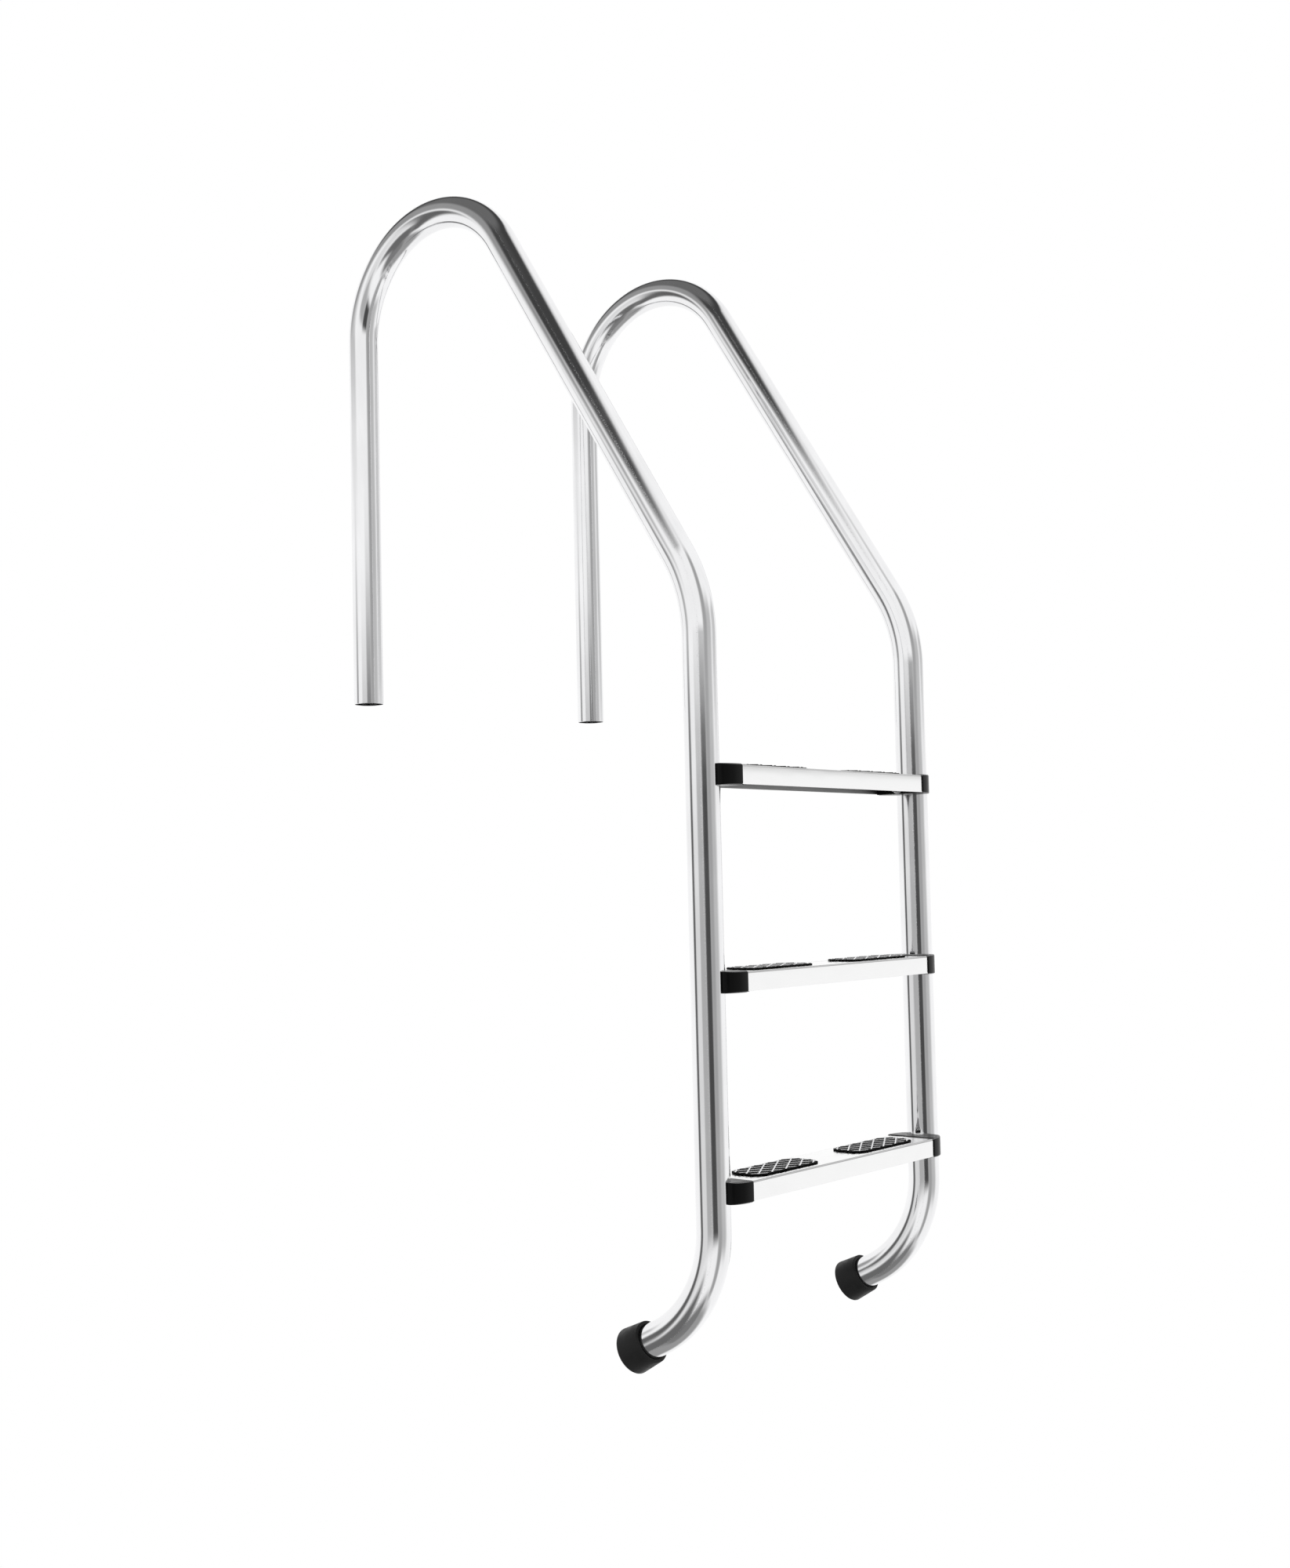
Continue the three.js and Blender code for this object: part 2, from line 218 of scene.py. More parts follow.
def mesh_piece(name, vertices, faces, uvs=None):
    """An object from vertices and faces. uvs holds one (u, v) for each corner of each face."""
    mesh = bpy.data.meshes.new(name)
    mesh.from_pydata([tuple(v) for v in vertices], [], faces)
    if uvs:
        layer = mesh.uv_layers.new(name="length")
        for corner, uv in enumerate(uvs):
            layer.data[corner].uv = uv
    piece = bpy.data.objects.new(name, mesh)
    bpy.context.scene.collection.objects.link(piece)
    return piece


def bands(size, count, closed_along=False):
    """Faces that join rings of size points, each ring to the next."""
    faces = []
    for i in range(count if closed_along else count - 1):
        a, b = i * size, (i + 1) % count * size
        faces += [[a + j, a + (j + 1) % size, b + (j + 1) % size, b + j] for j in range(size)]
    return faces


def loft(name, rings, closed_along=False):
    """A closed mesh through rings of equally many points. Its ends are filled or join up."""
    size, count = len(rings[0]), len(rings)
    faces = bands(size, count, closed_along)
    if not closed_along:
        faces.append(list(range(size))[::-1])
        faces.append([(count - 1) * size + j for j in range(size)])
    return outward(mesh_piece(name, [point for ring in rings for point in ring], faces))


def outward(piece):
    """Turns every face of a closed mesh to face out."""
    work = bmesh.new()
    work.from_mesh(piece.data)
    bmesh.ops.remove_doubles(work, verts=work.verts, dist=MERGE_DISTANCE)
    bmesh.ops.recalc_face_normals(work, faces=work.faces)
    work.to_mesh(piece.data)
    work.free()
    return piece


def combine(piece, other, operation):
    """Joins, cuts or intersects piece with other, and removes other."""
    modifier = piece.modifiers.new("boolean", "BOOLEAN")
    modifier.operation = operation
    modifier.solver = "EXACT"
    modifier.object = other
    graph = bpy.context.evaluated_depsgraph_get()
    made = bpy.data.meshes.new_from_object(piece.evaluated_get(graph))
    piece.modifiers.clear()
    piece.data = made
    bpy.data.objects.remove(other)


def smooth(piece, angle=35):
    """Smooth shading, with edges sharper than an angle in degrees kept crisp."""
    piece.data.shade_smooth()
    piece.data.set_sharp_from_angle(angle=math.radians(angle))


def circle(radius, count):
    """Points of a circle in the plane, counterclockwise."""
    angles = [2 * math.pi * i / count for i in range(count)]
    return [(radius * math.cos(a), radius * math.sin(a)) for a in angles]


def arc(cx, cy, rx, ry, start, end, steps):
    """Points of an elliptical arc, from one angle to another in degrees."""
    angles = [math.radians(start + (end - start) * i / steps) for i in range(steps + 1)]
    return [(cx + rx * math.cos(a), cy + ry * math.sin(a)) for a in angles]


def turned(name, profile, sides=64, closed=False):
    """A piece turned about +X. The profile's points are (X, radius)."""
    rings = []
    for x, radius in profile:
        rings.append([Vector((x, y, z)) for y, z in circle(max(radius, MIN_RADIUS), sides)])
    return loft(name, rings, closed_along=closed)


def drill(piece, radius, start, end, place):
    """Cuts a round hole in piece, from start to end along +X and then moved by the matrix place."""
    cutter = turned("cutter", [(start, radius), (end, radius)], HOLE_SIDES)
    cutter.data.transform(place)
    combine(piece, cutter, "DIFFERENCE")


def prism_x(name, outline, low, high):
    """A prism along X over an outline in (Y, Z)."""
    return loft(name, [[Vector((x, y, z)) for y, z in outline] for x in (low, high)])


def box(name, low, high):
    """A plain cutting block."""
    outline = [(low[1], low[2]), (high[1], low[2]), (high[1], high[2]), (low[1], high[2])]
    return prism_x(name, outline, low[0], high[0])


def oblong(inset):
    """The pads' outline, a rectangle with round corners, pulled in by inset."""
    radius = PAD_CORNER - inset
    x, y = PAD_LENGTH / 2 - PAD_CORNER, PAD_DEPTH / 2 - PAD_CORNER
    points = []
    for corner, (cx, cy) in enumerate([(x, y), (-x, y), (-x, -y), (x, -y)]):
        points += arc(cx, cy, radius, radius, 90 * corner, 90 * corner + 90, PAD_CORNER_STEPS)
    return points


# Materials


class Nodes:
    """The node tree of a material or world, with short calls for making and linking nodes."""

    def __init__(self, owner):
        owner.use_nodes = True
        self.owner = owner
        self.tree = owner.node_tree

    def feed(self, value, socket):
        """Links a socket, or sets a constant, into a socket."""
        if isinstance(value, bpy.types.NodeSocket):
            self.tree.links.new(value, socket)
        else:
            socket.default_value = value

    def add(self, kind, inputs=None, **settings):
        """A new node with its settings and inputs."""
        node = self.tree.nodes.new(kind)
        for key, value in settings.items():
            setattr(node, key, value)
        for key, value in (inputs or {}).items():
            self.feed(value, node.inputs[key])
        return node

    def math(self, operation, a, b=0.0, clamp=False):
        node = self.add("ShaderNodeMath", {0: a, 1: b}, operation=operation, use_clamp=clamp)
        return node.outputs[0]

    def degrees(self, value):
        return self.math("MULTIPLY", value, 180 / math.pi)

    def split(self, vector):
        """The three components of a vector."""
        return self.add("ShaderNodeSeparateXYZ", {"Vector": vector}).outputs

    def noise(self, place, scale, detail, roughness):
        """Noise over a place, at one scale or at one for each axis."""
        if isinstance(scale, tuple):
            mapping = self.add("ShaderNodeMapping", {"Vector": place, "Scale": scale})
            place, scale = mapping.outputs["Vector"], 1.0
        inputs = {"Vector": place, "Scale": scale, "Detail": detail, "Roughness": roughness}
        return self.add("ShaderNodeTexNoise", inputs).outputs["Fac"]

    def ramp(self, value, low, high, to_low=0.0, to_high=1.0, kind="SMOOTHSTEP"):
        """Goes from to_low to to_high as value goes from low to high, and is level outside."""
        inputs = {"Value": value, 1: low, 2: high, 3: to_low, 4: to_high}
        return self.add("ShaderNodeMapRange", inputs, interpolation_type=kind).outputs[0]

    def mix(self, factor, a, b):
        """A number between a and b."""
        return self.add("ShaderNodeMix", {"Factor": factor, "A": a, "B": b}).outputs["Result"]

    def grey_mix(self, factor, dark, light):
        """A very slightly cool grey between two tones."""
        inputs = {"Factor": factor}
        for key, tone in (("A", dark), ("B", light)):
            inputs[key] = (tone, tone, tone * 1.01, 1)
        return self.add("ShaderNodeMix", inputs, data_type="RGBA").outputs["Result"]

    def bump(self, height, strength, distance, normal=None):
        inputs = {"Height": height, "Strength": strength, "Distance": distance}
        if normal is not None:
            inputs["Normal"] = normal
        return self.add("ShaderNodeBump", inputs).outputs["Normal"]

    def finish(self, **inputs):
        """Feeds the material's main shader and returns the material."""
        shader = self.tree.nodes["Principled BSDF"]
        for key, value in inputs.items():
            self.feed(value, shader.inputs[key.replace("_", " ")])
        return self.owner


def object_material(name):
    """A new material's nodes and the object coordinates they work over."""
    n = Nodes(bpy.data.materials.new(name))
    return n, n.add("ShaderNodeTexCoord").outputs["Object"]


def tube_steel():
    """Polished tube: hairlines along it, cloudy polish, and a weld seam with a rougher bead."""
    n = Nodes(bpy.data.materials.new("tube_steel"))
    uv = n.add("ShaderNodeUVMap", uv_map="length").outputs["UV"]
    hairlines = n.noise(uv, (2600, 26, 1), detail=3.0, roughness=0.6)
    fine = n.noise(uv, (5200, 420, 1), detail=2.0, roughness=0.6)
    clouds = n.noise(uv, (28, 7, 1), detail=4.0, roughness=0.55)
    pits = n.noise(uv, (900, 700, 1), detail=3.0, roughness=0.7)
    from_weld = n.math("ABSOLUTE", n.math("SUBTRACT", n.split(uv)["X"], WELD_ANGLE * TUBE_RADIUS))
    weld = n.ramp(from_weld, 0.6 * MM, 2.2 * MM, 1.0, 0.0)
    speckled = n.math("MULTIPLY", weld, n.ramp(pits, 0.5, 0.66))
    rough_weld = n.math("MULTIPLY", speckled, 0.28)
    height = n.math("ADD", n.math("MULTIPLY", hairlines, 0.75), n.math("MULTIPLY", fine, 0.25))
    grain = n.bump(height, 0.12, 0.04 * MM)
    bead_height = n.math("ADD", weld, n.math("MULTIPLY", speckled, 0.4))
    dark_weld = n.math("MULTIPLY", speckled, 0.35)
    tone = n.math("SUBTRACT", n.ramp(clouds, 0.25, 0.8), dark_weld, clamp=True)
    return n.finish(
        Base_Color=n.grey_mix(tone, 0.78, 0.88),
        Metallic=1.0,
        Roughness=n.math("ADD", n.ramp(clouds, 0.3, 0.75, 0.06, 0.13), rough_weld),
        Normal=n.bump(bead_height, 0.35, 0.06 * MM, grain),
    )


def tread_steel():
    """Bright sheet with a faint grain along X and rubbed patches, painted shade inside its fold and
    a painted dark reflection along its bends.
    """
    n, place = object_material("tread_steel")
    hairlines = n.noise(place, (14, 1500, 1500), detail=3.0, roughness=0.6)
    patches = n.noise(place, (22, 60, 60), detail=3.0, roughness=0.5)
    _, y, up = n.split(place)
    off_middle = n.math("ABSOLUTE", y)
    # Painted shade: the channel's inner faces, inside the fold, get a darker base colour (and a
    # rougher finish) where shade falls.
    inner_face = TREAD_DEPTH / 2 - SHEET
    between = n.ramp(off_middle, inner_face + 0.2 * MM, inner_face + 0.5 * MM, 1.0, 0.0)
    inner_shade = n.math("MULTIPLY", between, n.ramp(up, -0.9 * MM, -0.6 * MM, 1.0, 0.0))
    # Painted dark reflection: a band along each top bend gets a darker base colour.
    bend_start = TREAD_DEPTH / 2 - SHEET_BEND
    beside = n.ramp(off_middle, bend_start - 0.2 * MM, bend_start + 0.7 * MM)
    bend_shade = n.math("MULTIPLY", beside, n.ramp(up, -SHEET_BEND, 0.7 * MM - SHEET_BEND))
    # marks adds up only the painted shade inside the fold and the painted dark reflection on the
    # bends, which darken the base colour.
    marks = n.math("ADD", n.math("MULTIPLY", inner_shade, 9.0), n.math("MULTIPLY", bend_shade, 5.0))
    steel = n.ramp(n.math("SUBTRACT", patches, marks), -9.0, 1.0, 0.2, 0.9, kind="LINEAR")
    rough_inside = n.math("MULTIPLY", inner_shade, 0.25)
    return n.finish(
        Base_Color=n.add("ShaderNodeCombineColor", {0: steel, 1: steel, 2: steel}).outputs[0],
        Metallic=1.0,
        Roughness=n.math("ADD", n.ramp(patches, 0.3, 0.75, 0.13, 0.24), rough_inside),
        Normal=n.bump(hairlines, 0.14, 0.05 * MM),
    )


def fastener_steel():
    """Plain bolts and washers, duller than the tube, with fine turning marks."""
    n, place = object_material("fastener_steel")
    marks = n.noise(place, (2400, 700, 700), detail=3.0, roughness=0.6)
    return n.finish(
        Base_Color=n.grey_mix(marks, 0.5, 0.66),
        Metallic=1.0,
        Roughness=n.ramp(marks, 0.3, 0.7, 0.24, 0.4),
        Normal=n.bump(marks, 0.12, 0.05 * MM),
    )


def cap_plastic():
    """Moulded black plastic with a very fine texture, its rounded rims coloured lighter as a
    painted highlight.
    """
    n, place = object_material("cap_plastic")
    normal = n.add("ShaderNodeTexCoord").outputs["Normal"]
    # Painted highlight: where the normal slants between up and sideways, on the rounded rims, the
    # base colour is lighter, standing in for glints.
    facing_up = n.math("ABSOLUTE", n.split(normal)["Z"])
    slanting = n.ramp(facing_up, 0.25, 0.5)
    rim = n.math("MULTIPLY", slanting, n.ramp(facing_up, 0.72, 0.93, 1.0, 0.0))
    texture = n.noise(place, 2600, detail=2.0, roughness=0.6)
    rubbed = n.noise(place, 60, detail=3.0, roughness=0.55)
    return n.finish(
        Base_Color=n.grey_mix(rim, 0.004, 0.16),
        Roughness=n.ramp(rubbed, 0.3, 0.75, 0.2, 0.3),
        Specular_IOR_Level=0.09,
        Normal=n.bump(texture, 0.04, 0.03 * MM),
    )


def pad_plastic():
    """Black anti-slip pad whose raised lattice has a painted light-grey highlight along its crests.
    """
    n, place = object_material("pad_plastic")
    rib_foot = GAP + PAD_SLAB
    # Painted highlight: the highest part of each rib gets a light grey base colour, its strength
    # varied by noise, standing in for the glint on the rounded crests.
    crest = n.ramp(n.split(place)["Z"], rib_foot + 0.66 * RIB_HEIGHT, rib_foot + 0.82 * RIB_HEIGHT)
    crest_highlight_breakup = n.noise(place, 420, detail=3.0, roughness=0.6)
    crest_highlight = n.math("MULTIPLY", crest, n.ramp(crest_highlight_breakup, 0.25, 0.6, 0.8, 1.0))
    texture = n.noise(place, 1900, detail=3.0, roughness=0.6)
    return n.finish(
        Base_Color=n.grey_mix(crest_highlight, 0.003, 0.85),
        Roughness=n.ramp(crest_highlight, 0.0, 1.0, 0.55, 0.42),
        Specular_IOR_Level=0.02,
        Normal=n.bump(texture, 0.2, 0.06 * MM),
    )


def foot_rubber():
    """Dull black rubber with a dusty bloom and a faint grain."""
    n, place = object_material("foot_rubber")
    bloom = n.noise(place, 95, detail=4.0, roughness=0.6)
    grain = n.noise(place, 1500, detail=3.0, roughness=0.65)
    return n.finish(
        Base_Color=n.grey_mix(bloom, 0.006, 0.016),
        Roughness=n.ramp(bloom, 0.3, 0.75, 0.42, 0.6),
        Specular_IOR_Level=0.2,
        Normal=n.bump(grain, 0.12, 0.06 * MM),
    )


TUBE_STEEL = tube_steel()
TREAD_STEEL = tread_steel()
FASTENER_STEEL = fastener_steel()
CAP_PLASTIC = cap_plastic()
PAD_PLASTIC = pad_plastic()
FOOT_RUBBER = foot_rubber()


def add_piece(piece, material, node):
    """Gives a finished piece its material, and puts it on the frame in place of its CAD node."""
    piece.data.materials.clear()
    piece.data.materials.append(material)
    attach(piece, "root")
    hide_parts(node)


# Rails


def rail_stations():
    """(y, z, heading) along a rail, from the anchor leg's cut end to the end in the foot."""
    knee_reach = KNEE_RADIUS * (1 - math.cos(LEAN))
    crown_reach = CROWN_RADIUS * (1 + math.cos(LEAN))
    slope = (REACH - knee_reach - crown_reach) / math.sin(LEAN)
    knee_top = KNEE_HEIGHT + KNEE_RADIUS * math.sin(LEAN)
    leg = knee_top + slope * math.cos(LEAN) - CROWN_RADIUS * math.sin(LEAN)
    stations = [(0.0, 0.0, 0.0)]

    def straight(length):
        y, z, heading = stations[-1]
        stations.append((y - length * math.sin(heading), z + length * math.cos(heading), heading))

    def bend(radius, turn):
        y, z, start = stations[-1]
        steps = math.ceil(turn / ARC_STEP)
        for i in range(1, steps + 1):
            heading = start + turn * i / steps
            dy = radius * (math.cos(heading) - math.cos(start))
            dz = radius * (math.sin(heading) - math.sin(start))
            stations.append((y + dy, z + dz, heading))

    straight(leg)
    bend(CROWN_RADIUS, math.pi - LEAN)
    straight(slope)
    bend(KNEE_RADIUS, LEAN)
    straight(KNEE_HEIGHT + TOE_DEPTH)
    bend(TOE_RADIUS, TOE_TURN)
    straight(TOE_TAIL)
    return stations


def cut_end(ring, lip_radius, forward):
    """Two rings for the skin's last one: the cut end's edge, and where its rounding stops."""
    y, z, heading, radius, length = ring
    shift = forward * TUBE_LIP
    y_in, z_in = y - shift * math.sin(heading), z + shift * math.cos(heading)
    return [(y, z, heading, lip_radius, length), (y_in, z_in, heading, radius, length)]


def tube_rings(stations):
    """(y, z, heading, radius, length) of each ring of the skin, outside and then back inside."""
    along = [0.0]
    for (y0, z0, _), (y1, z1, _) in zip(stations, stations[1:]):
        along.append(along[-1] + math.hypot(y1 - y0, z1 - z0))

    def skin(radius, lip_radius):
        rings = [(*station, radius, length) for station, length in zip(stations, along)]
        first, last = cut_end(rings[0], lip_radius, 1), cut_end(rings[-1], lip_radius, -1)
        return first + rings[1:-1] + last[::-1]

    bore = TUBE_RADIUS - TUBE_WALL
    return skin(TUBE_RADIUS, TUBE_RADIUS - TUBE_LIP) + skin(bore, bore + TUBE_LIP)[::-1]


def rail(side_name):
    """A bent tube with its thin wall showing at the cut ends."""
    x = SIDES[side_name] * RAIL_X
    rings = tube_rings(rail_stations())
    vertices = []
    for y, z, heading, radius, _ in rings:
        outer = Vector((0, math.cos(heading), math.sin(heading)))
        for c, s in circle(radius, TUBE_SIDES):
            vertices.append(Vector((x + c, y, z)) + outer * s)
    faces, uvs = [], []
    step = 2 * math.pi * TUBE_RADIUS / TUBE_SIDES
    for i, ring in enumerate(rings):
        following = (i + 1) % len(rings)
        a, b = i * TUBE_SIDES, following * TUBE_SIDES
        v0, v1 = ring[-1], rings[following][-1]
        for j in range(TUBE_SIDES):
            k = (j + 1) % TUBE_SIDES
            faces.append([a + j, b + j, b + k, a + k])
            uvs += [(j * step, v0), (j * step, v1), ((j + 1) * step, v1), ((j + 1) * step, v0)]
    tube = mesh_piece(f"{side_name}_rail_tube", vertices, faces, uvs)
    tube.data.flip_normals()
    turn = Matrix.Rotation(math.pi if x > 0 else 0.0, 4, "Z")
    for level in LEVELS:
        place = Matrix.Translation((x, -REACH, STEP_Z[level] - BOLT_DROP)) @ turn
        drill(tube, INSERT_RADIUS + GAP, 0, 1.3 * TUBE_RADIUS, place)
    smooth(tube, 40)
    add_piece(tube, TUBE_STEEL, f"{side_name}_rail")


# Treads


def channel_outline(clearance=0.0):
    """The folded sheet's section in (Y, Z), stepping face at Z = 0, thickened by a clearance."""
    outer = TREAD_DEPTH / 2 + clearance
    inner = TREAD_DEPTH / 2 - SHEET - clearance
    outer_bend = SHEET_BEND + clearance
    inner_bend = SHEET_BEND - SHEET - clearance
    middle = TREAD_DEPTH / 2 - SHEET_BEND
    floor = -TREAD_HEIGHT - clearance
    edge = SHEET_EDGE if clearance == 0 else 0.01 * MM
    points = arc(inner + edge, floor + edge, edge, edge, 180, 270, 3)
    points += arc(outer - edge, floor + edge, edge, edge, -90, 0, 3)
    points += arc(middle, clearance - outer_bend, outer_bend, outer_bend, 0, 90, BEND_STEPS)
    points += arc(-middle, clearance - outer_bend, outer_bend, outer_bend, 90, 180, BEND_STEPS)
    points += arc(edge - outer, floor + edge, edge, edge, 180, 270, 3)
    points += arc(-inner - edge, floor + edge, edge, edge, -90, 0, 3)
    ceiling = -SHEET - clearance - inner_bend
    points += arc(-middle, ceiling, inner_bend, inner_bend, 180, 90, BEND_STEPS)
    points += arc(middle, ceiling, inner_bend, inner_bend, 90, 0, BEND_STEPS)
    return points


def tread(level):
    """A folded channel with a hole for each of the pads' pegs."""
    piece = prism_x(f"{level}_tread_channel", channel_outline(), -TREAD_END, TREAD_END)
    for pad in (-PAD_X, PAD_X):
        for offset in (-PEG_OFFSET, PEG_OFFSET):
            place = Matrix.Translation((pad + offset, 0, 0)) @ X_TO_Z
            drill(piece, PEG_RADIUS + GAP, -3 * SHEET, SHEET, place)
    smooth(piece)
    piece.location = (0, -REACH, STEP_Z[level])
    add_piece(piece, TREAD_STEEL, f"{level}_tread")


# End caps


def cap_outline(rim, corner):
    """A cap's outline from above, pulled in by rim along the outside and by corner at the seam."""
    half = TREAD_DEPTH / 2 + CAP_SKIN - rim
    saddle = TUBE_RADIUS + GAP
    tip_angle = math.degrees(math.acos(CAP_TIP_IN / saddle))
    tip = saddle * math.sin(math.radians(tip_angle)) + CAP_TIP_THICKNESS
    seam = CAP_SEAM_IN - corner
    nose = min(CAP_NOSE_IN, seam - 0.6 * MM)
    length, depth = nose - CAP_TIP_IN, half - tip
    ease = 0.5 * MM  # small flats that soften the corners at the seam
    middle = 0.15 * MM
    points = [(seam, half - ease), (seam - middle, half - middle), (seam - ease, half)]
    points += arc(nose, tip, length, depth, 90, 180, 20)
    points += arc(0, 0, saddle, saddle, tip_angle, -tip_angle, 48)
    points += arc(nose, -tip, length, depth, 180, 270, 20)
    points += [(seam - ease, -half), (seam - middle, middle - half), (seam, ease - half)]
    return points


def rounding(depth, radius):
    """How far a quarter-round edge is pulled in at a depth below its face."""
    if depth >= radius:
        return 0.0
    return radius - math.sqrt(radius**2 - (radius - depth) ** 2)


def cap_body():
    """The cap's outer body with rounded rims, before the slot for the steel is cut."""
    top, bottom = CAP_SKIN, -TREAD_HEIGHT - CAP_SKIN
    depths = [CAP_CORNER * (i / CAP_ROUND_STEPS) ** 1.6 for i in range(CAP_ROUND_STEPS + 1)]
    levels = [(bottom + d, d) for d in depths] + [(top - d, d) for d in reversed(depths)]
    rings = []
    for z, depth in levels:
        outline = cap_outline(rounding(depth, CAP_RIM), rounding(depth, CAP_CORNER))
        rings.append([Vector((x, y, z)) for x, y in outline])
    return loft("cap", rings)


def cap(level, side_name):
    """An end cap: skin over the steel, plug inside it, and a saddle against the tube."""
    body = cap_body()
    plug_half = TREAD_DEPTH / 2 - SHEET - GAP
    low = (CAP_SEAM_IN - PLUG_ROOT, -plug_half, -TREAD_HEIGHT - CAP_SKIN + PLUG_LIFT)
    plug = box("plug", low, (CAP_PLUG_IN, plug_half, -SHEET - GAP))
    combine(body, plug, "UNION")
    past_plug = CAP_PLUG_IN + CUT_PAST
    slot = prism_x("slot", channel_outline(GAP), TREAD_INSET - GAP, past_plug)
    combine(body, slot, "DIFFERENCE")
    flange_end = TUBE_RADIUS + 2 * GAP + INSERT_FLANGE_THICKNESS
    drill(body, BOLT_RADIUS + GAP, 0, past_plug, TO_BOLT)
    drill(body, INSERT_FLANGE_RADIUS + GAP, 0, flange_end, TO_BOLT)
    body.name = f"{level}_{side_name}_end_cap"
    smooth(body, 30)
    place_at_rail(body, level, side_name)
    add_piece(body, CAP_PLASTIC, f"{level}_{side_name}_cap")


def place_at_rail(piece, level, side_name):
    """Puts a piece made with the tube axis at X = 0 and the ladder's middle toward +X."""
    side = SIDES[side_name]
    piece.location = (side * RAIL_X, -REACH, STEP_Z[level])
    piece.rotation_euler = (0, 0, math.pi if side > 0 else 0)


# Fasteners


def add_fastener(piece, level, side_name, kind, angle=35):
    """Shades a fastener, moves it to the bolt's line and puts it on the frame."""
    piece.data.transform(TO_BOLT)
    smooth(piece, angle)
    place_at_rail(piece, level, side_name)
    add_piece(piece, FASTENER_STEEL, f"{level}_{side_name}_{kind}")


def bolt(level, side_name):
    """A hexagon bolt with a chamfered head and a rounded shank end."""
    start = CAP_PLUG_IN + WASHER_THICKNESS + 2 * GAP
    flat = HEAD_ACROSS_FLATS / 2
    hexagon = []
    for i in range(BOLT_SIDES):
        angle = 2 * math.pi * i / BOLT_SIDES
        nearest_flat = round(angle / (math.pi / 3)) * math.pi / 3
        hexagon.append(min(flat / math.cos(angle - nearest_flat), flat * HEAD_CORNER))

    def even(radius):
        return [radius] * BOLT_SIDES

    profile = [
        (BOLT_TIP_IN, even(BOLT_RADIUS - BOLT_TIP_CHAMFER)),
        (BOLT_TIP_IN + BOLT_TIP_CHAMFER, even(BOLT_RADIUS)),
        (start, even(BOLT_RADIUS)),
        (start, even(0.97 * flat)),
        (start + 0.25 * MM, hexagon),
        (start + HEAD_HEIGHT - HEAD_CHAMFER, hexagon),
        (start + HEAD_HEIGHT, even(0.95 * flat)),
    ]
    unit = circle(1.0, BOLT_SIDES)
    rings = [[Vector((x, c * r, s * r)) for (c, s), r in zip(unit, radii)] for x, radii in profile]
    add_fastener(loft(f"{level}_{side_name}_hex_bolt", rings), level, side_name, "bolt", angle=24)


def washer(level, side_name):
    """A plain washer with softened edges."""
    start = CAP_PLUG_IN + GAP
    end = start + WASHER_THICKNESS
    bore = BOLT_RADIUS + GAP
    profile = [
        (start, bore),
        (start, WASHER_RADIUS - WASHER_EDGE),
        (start + WASHER_EDGE, WASHER_RADIUS),
        (end - WASHER_EDGE, WASHER_RADIUS),
        (end, WASHER_RADIUS - WASHER_EDGE),
        (end, bore),
    ]
    piece = turned(f"{level}_{side_name}_plain_washer", profile, closed=True)
    add_fastener(piece, level, side_name, "washer")


def insert(level, side_name):
    """A threaded insert crimped in the tube's wall."""
    seat = TUBE_RADIUS + GAP
    bulge = math.sqrt((TUBE_RADIUS - TUBE_WALL) ** 2 - INSERT_BULGE_RADIUS**2) - GAP
    bore = BOLT_RADIUS + GAP
    profile = [
        (INSERT_END_IN, bore),
        (INSERT_END_IN, INSERT_RADIUS),
        (bulge - 3 * MM, INSERT_RADIUS),
        (bulge - 2 * MM, INSERT_BULGE_RADIUS - 0.3 * MM),
        (bulge - 1.4 * MM, INSERT_BULGE_RADIUS),
        (bulge - 0.3 * MM, INSERT_BULGE_RADIUS),
        (bulge, INSERT_BULGE_RADIUS - 0.3 * MM),
        (bulge, INSERT_RADIUS),
        (seat, INSERT_RADIUS),
        (seat, INSERT_FLANGE_RADIUS),
        (seat + INSERT_FLANGE_THICKNESS, INSERT_FLANGE_RADIUS),
        (seat + INSERT_FLANGE_THICKNESS, bore),
    ]
    piece = turned(f"{level}_{side_name}_threaded_insert", profile, closed=True)
    add_fastener(piece, level, side_name, "rail_insert")


# Anti-slip pads


def rib_profile(distance):
    """Height of a rounded rib at a distance from its middle line."""
    if distance >= RIB_HALF_WIDTH:
        return 0.0
    return RIB_HEIGHT * (1 - (distance / RIB_HALF_WIDTH) ** 4)


